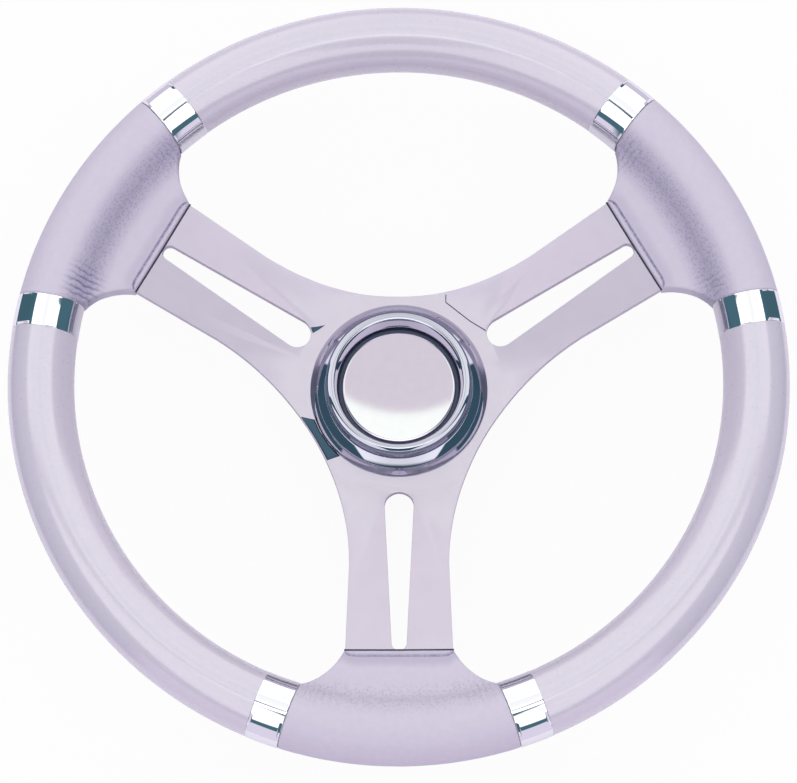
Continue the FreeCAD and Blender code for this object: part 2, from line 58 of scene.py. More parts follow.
rim_low, rim_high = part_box("rim_core")
rim_centre = (rim_low + rim_high) / 2
to_camera = Matrix.Identity(3)
for degrees, axis in ((CAMERA_TURN, "Y"), (CAMERA_TILT, "X"), (CAMERA_ROLL, "Z")):
    to_camera = to_camera @ Matrix.Rotation(math.radians(degrees), 3, axis)
to_world = to_camera.transposed()
nod = Matrix.Rotation(-math.atan(AIM_BELOW_CENTRE_PIXELS / FOCAL_PIXELS), 3, "X")
camera_data = bpy.data.cameras.new("camera")
camera_data.lens = FOCAL_PIXELS * SENSOR_WIDTH / IMAGE_WIDTH
camera_data.sensor_width = SENSOR_WIDTH
camera_data.clip_start, camera_data.clip_end = 0.05, 50
camera = bpy.data.objects.new("camera", camera_data)
camera.matrix_world = (to_world @ nod).to_4x4()
camera.location = rim_centre + to_world @ Vector((0, 0, CAMERA_DISTANCE))
scene.collection.objects.link(camera)
scene.camera = camera


# Table
# A round sheet of white paper under the wheel. The camera sees it nearly as
# bright as the studio behind, with the wheel's soft shadow on it.
TABLE_RADIUS = 0.32
TABLE_DROP = 0.2 * MM
TABLE_SIDES = 96
PAPER, SHADED_PAPER = "#e6e2ea", "#3f5a6d"
SHADED_FROM, SHADED_TO = 0.30, 0.31
GLOW_SHARE = 0.93
FADE_FROM = 0.7 * TABLE_RADIUS
SMOOTH = {"interpolation_type": "SMOOTHSTEP"}
RGB = {"data_type": "RGBA"}


def linear(hex_colour):
    """An sRGB hex colour as linear red, green, blue and full alpha."""
    parts = [int(hex_colour[at:at + 2], 16) / 255 for at in (1, 3, 5)]
    curve = [c / 12.92 if c <= 0.04045 else ((c + 0.055) / 1.055) ** 2.4 for c in parts]
    return (*curve, 1.0)


def add_node(tree, kind, inputs=None, **settings):
    """Adds a node with its settings. Each input takes a plain value, a socket,
    or a node, of which it takes the first output. A Mix node of colours has
    them in inputs 6 and 7 and gives output 2."""
    node = tree.nodes.new("ShaderNode" + kind)
    for name, value in settings.items():
        setattr(node, name, value)
    for name, value in (inputs or {}).items():
        if isinstance(value, bpy.types.Node):
            value = value.outputs[0]
        if isinstance(value, bpy.types.NodeSocket):
            tree.links.new(value, node.inputs[name])
        else:
            node.inputs[name].default_value = value
    return node


def new_tree(owner):
    owner.use_nodes = True
    owner.node_tree.nodes.clear()
    return owner.node_tree


table_mesh = bmesh.new()
bmesh.ops.create_circle(table_mesh, cap_ends=True, segments=TABLE_SIDES, radius=TABLE_RADIUS)
table_data = bpy.data.meshes.new("paper_table")
table_mesh.to_mesh(table_data)
table_mesh.free()
table = bpy.data.objects.new("paper_table", table_data)
table.location.z = -TABLE_DROP
scene.collection.objects.link(table)

# White paper: it scatters the light evenly. Only the chrome sees its two ends
# dark, as the unlit sides of the studio lie there.
paper = bpy.data.materials.new("white_paper")
tree = new_tree(paper)
camera_ray = add_node(tree, "LightPath").outputs["Is Camera Ray"]
place = add_node(tree, "TexCoord").outputs["Object"]
across = add_node(tree, "SeparateXYZ", {0: place}).outputs["X"]
sideways = add_node(tree, "Math", {0: across}, operation="ABSOLUTE")
shaded = add_node(tree, "MapRange", {"Value": sideways, "From Min": SHADED_FROM,
                                     "From Max": SHADED_TO}, **SMOOTH)
mirrored = add_node(tree, "Mix", {"Factor": shaded, 6: linear(PAPER),
                                  7: linear(SHADED_PAPER)}, **RGB).outputs[2]
colour = add_node(tree, "Mix", {"Factor": camera_ray, 6: mirrored,
                                7: linear(PAPER)}, **RGB).outputs[2]
sheet = add_node(tree, "BsdfDiffuse", {"Color": colour})
glow = add_node(tree, "Emission", {"Color": linear("#ffffff"), "Strength": 1.0})
from_middle = add_node(tree, "VectorMath", {0: place}, operation="LENGTH").outputs["Value"]
edge_fade = add_node(tree, "MapRange", {"Value": from_middle, "From Min": FADE_FROM,
                                        "From Max": TABLE_RADIUS}, **SMOOTH)
share = add_node(tree, "Math", {0: edge_fade, 1: GLOW_SHARE}, operation="MAXIMUM")
seen = add_node(tree, "Math", {0: camera_ray, 1: share}, operation="MULTIPLY")
mixed = add_node(tree, "MixShader", {"Fac": seen, 1: sheet, 2: glow})
add_node(tree, "OutputMaterial", {"Surface": mixed})
table_data.materials.append(paper)


# Studio
# Two white panels hang side by side over the wheel with a softbox, a ring lamp
# and a thin gap between them. White walls stand behind and low in front, and
# the dark room left and right draws the dark blocks in the chrome.
LOWEST = 0.02
PANEL_LIGHT = 1.32
PANEL_SIDE, SIDE_EDGE = 0.95, 0.03
PANEL_FRONT, FRONT_EDGE = 1.5, 0.15
GAP_AT, GAP_HALF, GAP_EDGE = 0.1, 0.065, 0.005
STAND_HALF, STAND_EDGE = 0.16, 0.02
STAND_NEAR, STAND_REACH, REACH_EDGE = -0.1, 0.7, 0.03
WALL_SPREAD, LOW_WALL_SPREAD, WALL_EDGE = 0.62, 1.3, 0.04
WHITE_ABOVE, ABOVE_EDGE = 0.28, 0.02
LOW_WHITE_FROM, LOW_WHITE_TO = 0.02, 0.06
FRONT_TOP, FRONT_TOP_ASIDE, FRONT_TOP_EDGE = 0.17, 0.37, 0.03
FRONT_SPREAD, FRONT_SPREAD_EDGE = 0.75, 0.06
ROOM_SEEN, ROOM_LIGHT, LOW_WALL = "#41616e", "#d2ccda", "#d0c8da"
SIDE_FROM, SIDE_TO, SIDE_GAIN = 0.15, 0.8, 0.22
BACK_FROM, BACK_TO, BACK_GAIN = 0.3, 1.0, -0.18
LAMP_TURN, LAMP_INNER, LAMP_OUTER = 21.7, 9.7, 14.0
LAMP_LIGHT, LAMP_EDGE = (0.25, 0.45, 0.2), 0.0012
MIDDLE_LIGHT = 0.8
SOFTBOX_HALF, SOFTBOX_EDGE, SOFTBOX_LIGHT = 10.0, 2.0, 1.3
FALLING = {"To Min": 1.0, "To Max": 0.0}

world = bpy.data.worlds.new("studio")
scene.world = world
tree = new_tree(world)
sight = add_node(tree, "TexCoord").outputs["Generated"]
split = add_node(tree, "SeparateXYZ", {0: sight})
beyond, height = split.outputs["Y"], split.outputs["Z"]
aside = add_node(tree, "Math", {0: split.outputs["X"]}, operation="ABSOLUTE")
up = add_node(tree, "Math", {0: height, 1: LOWEST}, operation="MAXIMUM")
side_share = add_node(tree, "Math", {0: aside, 1: up}, operation="DIVIDE")
depth_share = add_node(tree, "Math", {0: beyond, 1: up}, operation="DIVIDE")

# The gap between the panels and the dark stand in front of it.
gap_middle = add_node(tree, "Math", {0: depth_share, 1: GAP_AT}, operation="SUBTRACT")
off_gap = add_node(tree, "Math", {0: gap_middle}, operation="ABSOLUTE")
outside_gap = add_node(tree, "MapRange", {"Value": off_gap, "From Min": GAP_HALF - GAP_EDGE,
                                          "From Max": GAP_HALF + GAP_EDGE}, **SMOOTH)
beside_stand = add_node(tree, "MapRange", {
    "Value": side_share, "From Min": STAND_HALF - STAND_EDGE,
    "From Max": STAND_HALF + STAND_EDGE}, **SMOOTH)
before_stand = add_node(tree, "MapRange", {
    "Value": depth_share, "From Min": STAND_NEAR - STAND_EDGE,
    "From Max": STAND_NEAR + STAND_EDGE}, **SMOOTH)
past_stand = add_node(tree, "MapRange", {
    "Value": depth_share, "From Min": -STAND_REACH - REACH_EDGE,
    "From Max": -STAND_REACH + REACH_EDGE, **FALLING}, **SMOOTH)
along_stand = add_node(tree, "Math", {0: before_stand, 1: past_stand}, operation="MAXIMUM")
off_stand = add_node(tree, "Math", {0: beside_stand, 1: along_stand}, operation="MAXIMUM")

# The panels themselves.
over_wheel = add_node(tree, "MapRange", {
    "Value": side_share, "From Min": PANEL_SIDE - SIDE_EDGE,
    "From Max": PANEL_SIDE + SIDE_EDGE, **FALLING}, **SMOOTH)
not_front = add_node(tree, "MapRange", {
    "Value": depth_share, "From Min": -PANEL_FRONT - FRONT_EDGE,
    "From Max": -PANEL_FRONT + FRONT_EDGE}, **SMOOTH)
panels = over_wheel
for mask in (not_front, outside_gap, off_stand):
    panels = add_node(tree, "Math", {0: panels, 1: mask}, operation="MULTIPLY")

# The white wall behind, which reaches further to the sides near the ground.
wall_side = add_node(tree, "Math", {0: aside, 1: WALL_SPREAD}, operation="MULTIPLY")
wall_lean = add_node(tree, "Math", {0: beyond, 1: wall_side}, operation="SUBTRACT")
back_wall = add_node(tree, "MapRange", {"Value": wall_lean, "From Min": 0.0,
                                        "From Max": WALL_EDGE}, **SMOOTH)
parted_wall = add_node(tree, "Math", {0: back_wall, 1: outside_gap}, operation="MULTIPLY")
above_wall = add_node(tree, "MapRange", {
    "Value": height, "From Min": WHITE_ABOVE - ABOVE_EDGE,
    "From Max": WHITE_ABOVE + ABOVE_EDGE}, **SMOOTH)
high_white = add_node(tree, "Math", {0: panels, 1: parted_wall}, operation="MAXIMUM")
high_white = add_node(tree, "Math", {0: high_white, 1: above_wall}, operation="MULTIPLY")
low_side = add_node(tree, "Math", {0: aside, 1: LOW_WALL_SPREAD}, operation="MULTIPLY")
low_lean = add_node(tree, "Math", {0: beyond, 1: low_side}, operation="SUBTRACT")
low_white = add_node(tree, "MapRange", {"Value": low_lean, "From Min": 0.0,
                                        "From Max": WALL_EDGE}, **SMOOTH)
off_ground = add_node(tree, "MapRange", {"Value": height, "From Min": LOW_WHITE_FROM,
                                         "From Max": LOW_WHITE_TO}, **SMOOTH)
low_white = add_node(tree, "Math", {0: low_white, 1: off_ground}, operation="MULTIPLY")
white = add_node(tree, "Math", {0: high_white, 1: low_white}, operation="MAXIMUM")

# The low pale walls in front and behind.
facing = add_node(tree, "Math", {0: beyond, 1: -1.0}, operation="MULTIPLY")
top_in_front = add_node(tree, "Math", {0: facing, 1: FRONT_TOP}, operation="MULTIPLY")
top_aside = add_node(tree, "Math", {0: aside, 1: FRONT_TOP_ASIDE}, operation="MULTIPLY")
wall_top = add_node(tree, "Math", {0: top_in_front, 1: top_aside}, operation="ADD")
below_top = add_node(tree, "Math", {0: wall_top, 1: height}, operation="SUBTRACT")
under_top = add_node(tree, "MapRange", {"Value": below_top, "From Min": 0.0,
                                        "From Max": FRONT_TOP_EDGE}, **SMOOTH)
front_side = add_node(tree, "Math", {0: aside, 1: FRONT_SPREAD}, operation="MULTIPLY")
front_lean = add_node(tree, "Math", {0: facing, 1: front_side}, operation="SUBTRACT")
in_front = add_node(tree, "MapRange", {"Value": front_lean, "From Min": 0.0,
                                       "From Max": FRONT_SPREAD_EDGE}, **SMOOTH)
front_wall = add_node(tree, "Math", {0: under_top, 1: in_front}, operation="MULTIPLY")
low_walls = add_node(tree, "Math", {0: front_wall, 1: back_wall}, operation="MAXIMUM")

# The room's colours, and the panels a little brighter at the sides.
ray = add_node(tree, "LightPath")
dark_room = add_node(tree, "Mix", {"Factor": ray.outputs["Is Diffuse Ray"], 6: linear(ROOM_SEEN),
                                   7: linear(ROOM_LIGHT)}, **RGB).outputs[2]
room = add_node(tree, "Mix", {"Factor": low_walls, 6: dark_room,
                              7: linear(LOW_WALL)}, **RGB).outputs[2]
lit = add_node(tree, "Mix", {"Factor": white, 6: room,
                             7: (PANEL_LIGHT, PANEL_LIGHT, PANEL_LIGHT, 1.0)}, **RGB).outputs[2]
beside = add_node(tree, "MapRange", {"Value": side_share, "From Min": SIDE_FROM,
                                     "From Max": SIDE_TO}, **SMOOTH)
beside = add_node(tree, "Math", {0: beside, 1: SIDE_GAIN}, operation="MULTIPLY")
behind = add_node(tree, "MapRange", {"Value": depth_share, "From Min": BACK_FROM,
                                     "From Max": BACK_TO}, **SMOOTH)
behind = add_node(tree, "Math", {0: behind, 1: BACK_GAIN}, operation="MULTIPLY")
change = add_node(tree, "Math", {0: beside, 1: behind}, operation="ADD")
gain = add_node(tree, "Math", {0: change, 1: 1.0}, operation="ADD")
uneven = add_node(tree, "Mix", {"Factor": 1.0, 6: lit, 7: gain},
                  blend_type="MULTIPLY", **RGB).outputs[2]

# The ring lamp with its dimmer middle, and the softbox straight above.
lamp_turn = math.radians(LAMP_TURN)
lamp_axis = (0, math.sin(lamp_turn), math.cos(lamp_turn))
lamp_dot = add_node(tree, "VectorMath", {0: sight, 1: lamp_axis},
                    operation="DOT_PRODUCT").outputs["Value"]
inner, outer = (math.cos(math.radians(turn)) for turn in (LAMP_INNER, LAMP_OUTER))
past_middle = add_node(tree, "MapRange", {"Value": lamp_dot, "From Min": inner - LAMP_EDGE,
                                          "From Max": inner + LAMP_EDGE, **FALLING}, **SMOOTH)
inside_lamp = add_node(tree, "MapRange", {"Value": lamp_dot, "From Min": outer - LAMP_EDGE,
                                          "From Max": outer + LAMP_EDGE}, **SMOOTH)
lamp = add_node(tree, "Math", {0: past_middle, 1: inside_lamp}, operation="MULTIPLY")
middle = add_node(tree, "Math", {0: 1.0, 1: past_middle}, operation="SUBTRACT")
dimmed = add_node(tree, "Mix", {"Factor": middle, 6: uneven,
                                7: (MIDDLE_LIGHT, MIDDLE_LIGHT, MIDDLE_LIGHT, 1.0)},
                  blend_type="MULTIPLY", **RGB).outputs[2]
ringed = add_node(tree, "Mix", {"Factor": lamp, 6: dimmed, 7: (*LAMP_LIGHT, 1.0)},
                  blend_type="ADD", **RGB).outputs[2]
softbox = add_node(tree, "MapRange", {
    "Value": height, "From Min": math.cos(math.radians(SOFTBOX_HALF + SOFTBOX_EDGE)),
    "From Max": math.cos(math.radians(SOFTBOX_HALF - SOFTBOX_EDGE))}, **SMOOTH)
off_lamp = add_node(tree, "Math", {0: 1.0, 1: inside_lamp}, operation="SUBTRACT")
for mask in (outside_gap, off_stand, off_lamp):
    softbox = add_node(tree, "Math", {0: softbox, 1: mask}, operation="MULTIPLY")
total = add_node(tree, "Mix", {"Factor": softbox, 6: ringed,
                               7: (SOFTBOX_LIGHT, SOFTBOX_LIGHT, SOFTBOX_LIGHT, 1.0)},
                 blend_type="ADD", **RGB).outputs[2]
light = add_node(tree, "Background", {"Color": total, "Strength": 1.0})
backdrop = add_node(tree, "Background", {"Color": linear("#ffffff"), "Strength": 1.0})
either = add_node(tree, "MixShader", {"Fac": ray.outputs["Is Camera Ray"], 1: light, 2: backdrop})
add_node(tree, "OutputWorld", {"Surface": either})


# Spoke plate
# One pressed aluminium sheet: flat round the hub, three slotted spokes that
# bend up to the rim. Its sheared edges are broken and its faces satin blasted.
PLATE_EDGE_ROUND = 0.35 * MM
SHARP_TURN = math.radians(35)
FLAT_TURN = math.radians(0.4)
MERGE_WITHIN = 0.001 * MM


def surface_finish(name, metallic, colours, roughness, patches=None, rubs=None, relief=None,
                   **more):
    """A material with one shaded surface. Colours and roughness are one value,
    or two between which it varies in patches and rubs of (size in mm, detail).
    Relief is (size in mm, detail, depth in mm). Gives the material, its tree,
    its surface and the piece's own coordinates in millimetres."""
    material = bpy.data.materials.new(name)
    tree = new_tree(material)
    place = add_node(tree, "TexCoord").outputs["Object"]
    where = add_node(tree, "Mapping", {"Vector": place, "Scale": (1 / MM, 1 / MM, 1 / MM)})
    surface = add_node(tree, "BsdfPrincipled", {"Metallic": metallic, **more})
    if patches:
        size, detail = patches
        amount = add_node(tree, "TexNoise", {"Vector": where, "Scale": 1 / size, "Detail": detail})
        dark, light = colours
        mixed = add_node(tree, "Mix", {"Factor": amount, 6: linear(dark), 7: linear(light)}, **RGB)
        tree.links.new(mixed.outputs[2], surface.inputs["Base Color"])
    else:
        surface.inputs["Base Color"].default_value = linear(colours)
    if rubs:
        size, detail = rubs
        amount = add_node(tree, "TexNoise", {"Vector": where, "Scale": 1 / size, "Detail": detail})
        low, high = roughness
        varied = add_node(tree, "MapRange", {"Value": amount, "To Min": low, "To Max": high})
        tree.links.new(varied.outputs[0], surface.inputs["Roughness"])
    else:
        surface.inputs["Roughness"].default_value = roughness
    if relief:
        size, detail, depth = relief
        amount = add_node(tree, "TexNoise", {"Vector": where, "Scale": 1 / size, "Detail": detail})
        raised = add_node(tree, "Bump", {"Height": amount, "Strength": 1.0,
                                         "Distance": depth * MM})
        tree.links.new(raised.outputs[0], surface.inputs["Normal"])
    add_node(tree, "OutputMaterial", {"Surface": surface})
    return material, tree, surface, where


def add_piece(name, mesh, material, slot, *replaced):
    """A new shown piece from a bmesh, in place of CAD nodes."""
    data = bpy.data.meshes.new(name)
    mesh.to_mesh(data)
    mesh.free()
    data.materials.append(material)
    data.shade_smooth()
    piece = bpy.data.objects.new(name, data)
    scene.collection.objects.link(piece)
    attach(piece, "root")
    if replaced:
        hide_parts(*replaced)
    return piece


def dress(node_name, material):
    """Gives a CAD node its finish."""
    node = nodes[node_name]
    for place in node.material_slots:
        place.material = material


# Bead-blasted and clear anodised aluminium: a soft metal sheen, pale with a
# violet cast. The blasting's 0.1 mm dimples are drawn at 0.35 mm, to show.
satin_aluminium = surface_finish(
    "satin_anodised_aluminium", 1.0, ("#c6bdcd", "#cdc4d3"), (0.27, 0.35),
    patches=(9.0, 4.0), rubs=(3.0, 2.0), relief=(0.35, 1.0, 0.004))[0]
plate_mesh = bmesh.new()
plate_mesh.from_mesh(nodes["spoke_plate"].data)
bmesh.ops.remove_doubles(plate_mesh, verts=plate_mesh.verts, dist=MERGE_WITHIN)
bmesh.ops.dissolve_limit(plate_mesh, angle_limit=FLAT_TURN,
                         verts=plate_mesh.verts, edges=plate_mesh.edges)
plate = add_piece("spoke_pressing", plate_mesh, satin_aluminium, "spoke_metal", "spoke_plate")
rounding = plate.modifiers.new("broken_edges", "BEVEL")
rounding.width = PLATE_EDGE_ROUND
rounding.segments = 2
rounding.limit_method = "ANGLE"
rounding.angle_limit = SHARP_TURN
rounding.use_clamp_overlap = True
even = plate.modifiers.new("even_faces", "WEIGHTED_NORMAL")
even.weight, even.keep_sharp = 60, True


# Rim
# Three smooth urethane segments moulded on the steel ring, glossy with a
# faint orange-peel skin.

# Moulded urethane, lacquered: a soft highlight along the tube over an even
# lavender body, and an orange peel 1.6 mm across.
gloss_urethane = surface_finish(
    "gloss_rim_urethane", 0.0, ("#c4bdcc", "#cac4d2"), (0.24, 0.34),
    patches=(3.0, 5.0), rubs=(2.0, 2.0), relief=(1.6, 1.0, 0.006),
    **{"Coat Weight": 1.0, "Coat Roughness": 0.17, "Coat IOR": 1.85})[0]
for name in ("top", "lower_left", "lower_right"):
    dress("rim_segment_" + name, gloss_urethane)


# Grips
# Softer urethane moulded over the spoke ends: a web on both faces of the
# plate runs through round valleys into the tube. Its skin is grained, a lip
# closes it on the plate, and it wrinkles where it was drawn off the mould.
SPOKES = {"left": 150, "right": 30, "bottom": 270}
RIM_RADIUS = 160.15 * MM
RIM_LEVEL = rim_centre.z
TUBE_RADIUS = 14.85 * MM
PLATE_FRONT = 42.0 * MM
PLATE_THICKNESS = 4.0 * MM
BEND_RADIUS = 48.0 * MM
SPOKE_RISE = 0.27169
SEAM = 123.8 * MM
SEAM_HALF = 24.1 * MM
COVER = 2.2 * MM
VALLEY_RADIUS = 9.0 * MM
VALLEY_RING = 146.8
BAND_ANGLE = math.radians(20.1)
HALF_BAND = 7.5 * MM
FLARE_RADIUS = 29.7 * MM
HEEL = 0.8 * MM
VALLEY_STEPS, SLOPE_STEPS, TUBE_STEPS, FLARE_STEPS = 12, 10, 40, 24
PLAN_REACH = 200 * MM
SKIN_CELL = 0.5 * MM
FINE_REACH = 6 * MM
BLANK_SPARE, BLANK_STEPS = math.radians(2), 60
CUTTER_FROM, CUTTER_HEIGHT = 20 * MM, 100 * MM


def arc_between(first, last, radius, left_turn, count):
    """Points of an arc from first to last, without first."""
    first, last = Vector(first), Vector(last)
    chord = last - first
    across = Vector((-chord.y, chord.x)).normalized()
    rise = math.sqrt(max(radius * radius - chord.length_squared / 4, 0))
    centre = (first + last) / 2 + across * (rise if left_turn else -rise)
    start = math.atan2(*(first - centre).yx)
    sweep = math.atan2(*(last - centre).yx) - start
    sweep = sweep % math.tau if left_turn else -((-sweep) % math.tau)
    return [
        centre + radius * Vector((math.cos(start + sweep * at / count),
                                  math.sin(start + sweep * at / count)))
        for at in range(1, count + 1)
    ]


def loop_edges(mesh, points, place):
    """A closed line through the points, each placed by the function given."""
    verts = [mesh.verts.new(place(point)) for point in points]
    edges = [mesh.edges.new((verts[at - 1], verts[at])) for at in range(len(verts))]
    return verts, edges


def standing(point):
    return (point[0], 0, point[1])


def grip_outline_section():
    """The closed section of a grip, from the web through both valleys."""
    cosine = 1 / math.sqrt(1 + SPOKE_RISE ** 2)
    sine = SPOKE_RISE * cosine
    dish = RIM_LEVEL - PLATE_FRONT
    reach = TUBE_RADIUS + VALLEY_RADIUS
    along = (RIM_RADIUS - BEND_RADIUS) * cosine + dish * sine
    above = dish * cosine - (RIM_RADIUS - BEND_RADIUS) * sine
    depth = PLATE_THICKNESS + COVER

    def on_plate(far, high):
        return Vector((BEND_RADIUS + far * cosine - high * sine,
                       PLATE_FRONT + far * sine + high * cosine))

    def valley(offset, side):
        gap = (above - offset) * side
        foot = along - math.sqrt(reach ** 2 - (VALLEY_RADIUS - gap) ** 2)
        share = TUBE_RADIUS / reach
        web = on_plate(foot, offset)
        tube = on_plate(along + (foot - along) * share,
                        above + (offset + VALLEY_RADIUS * side - above) * share)
        return web, tube

    front_web, front_tube = valley(COVER, 1)
    back_web, back_tube = valley(-depth, -1)
    begin = (SEAM - BEND_RADIUS) / cosine - depth * 2
    section = [on_plate(begin, COVER), on_plate(begin, -depth), back_web]
    section += arc_between(back_web, back_tube, VALLEY_RADIUS, False, VALLEY_STEPS)
    below = Vector((RIM_RADIUS, RIM_LEVEL - TUBE_RADIUS))
    over = Vector((RIM_RADIUS, RIM_LEVEL + TUBE_RADIUS))
    section += arc_between(back_tube, below, TUBE_RADIUS, True, SLOPE_STEPS)
    section += arc_between(below, over, TUBE_RADIUS, True, TUBE_STEPS)
    section += arc_between(over, front_tube, TUBE_RADIUS, True, SLOPE_STEPS)
    section += arc_between(front_tube, front_web, VALLEY_RADIUS, False, VALLEY_STEPS)
    return section


def grip_plan():
    """The outline of a grip seen from the front, its spoke along X."""
    heel = RIM_RADIUS - TUBE_RADIUS + HEEL
    heel_far = math.sqrt(heel ** 2 - HALF_BAND ** 2)

    def on_band(far):
        return Vector((far * math.cos(BAND_ANGLE) + HALF_BAND * math.sin(BAND_ANGLE),
                       far * math.sin(BAND_ANGLE) - HALF_BAND * math.cos(BAND_ANGLE)))

    upper = [Vector((SEAM, SEAM_HALF))]
    upper += arc_between(upper[0], on_band(heel_far), FLARE_RADIUS, True, FLARE_STEPS)
    upper.append(on_band(PLAN_REACH))
    lower = [Vector((point.x, -point.y)) for point in reversed(upper)]
    return upper + lower


def raise_faces(mesh, height):
    """Gives flat faces a height, as a closed shell."""
    whole = bmesh.ops.extrude_face_region(mesh, geom=mesh.faces[:])["geom"]
    raised = [part for part in whole if isinstance(part, bmesh.types.BMVert)]
    bmesh.ops.translate(mesh, verts=raised, vec=(0, 0, height))
    bmesh.ops.recalc_face_normals(mesh, faces=mesh.faces)


def mesh_object(name, mesh):
    data = bpy.data.meshes.new(name)
    mesh.to_mesh(data)
    mesh.free()
    made = bpy.data.objects.new(name, data)
    scene.collection.objects.link(made)
    return made


def grip_blank():
    """The plain form of a grip as one fine even skin, its spoke along X."""
    mesh = bmesh.new()
    edges = loop_edges(mesh, grip_outline_section(), standing)[1]
    face = bmesh.ops.contextual_create(mesh, geom=edges)["faces"][0]
    turn = BAND_ANGLE + BLANK_SPARE
    bmesh.ops.rotate(mesh, verts=mesh.verts, matrix=Matrix.Rotation(-turn, 3, "Z"))
    bmesh.ops.spin(mesh, geom=[face, *mesh.edges, *mesh.verts], axis=(0, 0, 1),
                   cent=(0, 0, 0), angle=turn * 2, steps=BLANK_STEPS)
    bmesh.ops.recalc_face_normals(mesh, faces=mesh.faces)
    body = mesh_object("grip_body", mesh)

    mesh = bmesh.new()
    edges = loop_edges(mesh, grip_plan(), lambda point: (*point, CUTTER_FROM))[1]
    bmesh.ops.contextual_create(mesh, geom=edges)
    raise_faces(mesh, CUTTER_HEIGHT)
    cutter = mesh_object("grip_cutter", mesh)

    trim = body.modifiers.new("trim", "BOOLEAN")
    trim.operation, trim.solver, trim.object = "INTERSECT", "EXACT", cutter
    skin = body.modifiers.new("skin", "REMESH")
    skin.mode, skin.voxel_size = "VOXEL", SKIN_CELL
    relax = body.modifiers.new("relax", "SMOOTH")
    relax.factor, relax.iterations = 0.5, 8
    bpy.context.view_layer.update()
    finished = body.evaluated_get(bpy.context.evaluated_depsgraph_get())
    blank = bpy.data.meshes.new_from_object(finished)
    for done in (body, cutter):
        bpy.data.objects.remove(done)
    return blank


def hump(value, middle, half_width):
    """1 in the middle, falling smoothly to 0 half a width away."""
    share = abs(value - middle) / half_width
    return 0.0 if share >= 1 else (1 - share * share) ** 2


WRINKLES = {
    "left": [(14.0, 147.0, 1.0), (-14.5, 146.0, 0.25)],
    "right": [(14.5, 146.0, 0.3), (-13.5, 146.0, 0.35)],
    "bottom": [(14.0, 147.0, 0.2), (-14.0, 147.0, 0.2)],
}
WRINKLE_TURN, WRINKLE_WIDTH = 5.4, 11.0
WRINKLE_PITCH, WRINKLE_DEPTH = 2.7, 0.55
SWAY, SWAY_SIZE = 0.9, 4 * MM
HAND_FEEL, HAND_FEEL_SIZE = 0.05, 5 * MM
LIP_FACING, LIP_REACH, LIP_SQUARENESS, LIP_RISE = 0.3, 8, 16, 0.25
GROOVE_AT, GROOVE_WIDTH, GROOVE_DEPTH = 2.3, 0.75, 0.75
DOTS_MIDDLE, DOTS_SWING, DOTS_ALONG, DOTS_ACROSS = 0.7, 0.5, 1.1, 0.8
HOLLOW_AFTER, HOLLOW_WIDTH, HOLLOW_DEPTH = 1.5, 5.0, 0.22
# How much painted shade the groove and the hollow behind the lip get on each grip.
SEAM_SHADES = {"left": (1.0, 0.2), "right": (1.0, 0.2), "bottom": (0.5, 0.3)}


def grip_relief(point, normal, name):
    """How far the skin stands proud at a point, in millimetres, and how much
    painted shade it gets in the groove, the hollow and the wrinkle creases, 0 to 1."""
    x, y = point.x / MM, point.y / MM
    along = x - SEAM / MM
    rise = HAND_FEEL * noise.noise(point / HAND_FEEL_SIZE)
    shade_amount = 0.0
    if abs(normal.z) > LIP_FACING and along < LIP_REACH:
        side = min(abs(y) / (SEAM_HALF / MM), 1)
        groove_at = GROOVE_AT * (1 - side ** LIP_SQUARENESS)
        speck = Vector((y * DOTS_ALONG, along * DOTS_ACROSS, 0))
        dots = DOTS_MIDDLE + DOTS_SWING * noise.noise(speck)
        rise += LIP_RISE * hump(along, groove_at * 0.4, max(groove_at * 0.6, 0.3))
        groove = dots * hump(along, groove_at, GROOVE_WIDTH)
        rise -= GROOVE_DEPTH * groove
        hollow = hump(along, groove_at + HOLLOW_AFTER, HOLLOW_WIDTH)
        # Painted shade in the groove beside the lip and in the hollow behind it.
        in_groove, in_hollow = SEAM_SHADES[name]
        shade_amount = in_groove * groove + in_hollow * hollow
        rise -= HOLLOW_DEPTH * hollow
    ring = math.hypot(x, y)
    turn = math.degrees(math.atan2(y, x))
    for at_turn, at_ring, strength in WRINKLES[name]:
        window = hump(turn, at_turn, WRINKLE_TURN) * hump(ring, at_ring, WRINKLE_WIDTH)
        if window > 0 and normal.z > 0:
            wave = math.radians(turn) * at_ring + SWAY * noise.noise(point / SWAY_SIZE)
            crease = abs(math.sin(math.pi * wave / WRINKLE_PITCH))
            rise -= strength * WRINKLE_DEPTH * window * (1 - crease)
            # Painted shade in the creases of the wrinkles.
            shade_amount = max(shade_amount, strength * window * (1 - crease) ** 2)
    return rise, shade_amount


GRAIN_SIZE, GRAIN_DEPTH, GRAIN_STRENGTH = 1.25, 0.16, 0.9
GRAIN_FLATTEST = 0.25
VALLEY_FULL, VALLEY_FADE = 2.0, 10.0
# Painted shade: in the grain's pits, and in the valleys of the two side grips.
PIT_FROM, PIT_TO, PIT_SHADE = 0.2, 0.55, 0.26
SIDE_SHADE_FROM, SIDE_SHADE_TO, SIDE_VALLEY_SHADE = -20.0, 20.0, 0.36


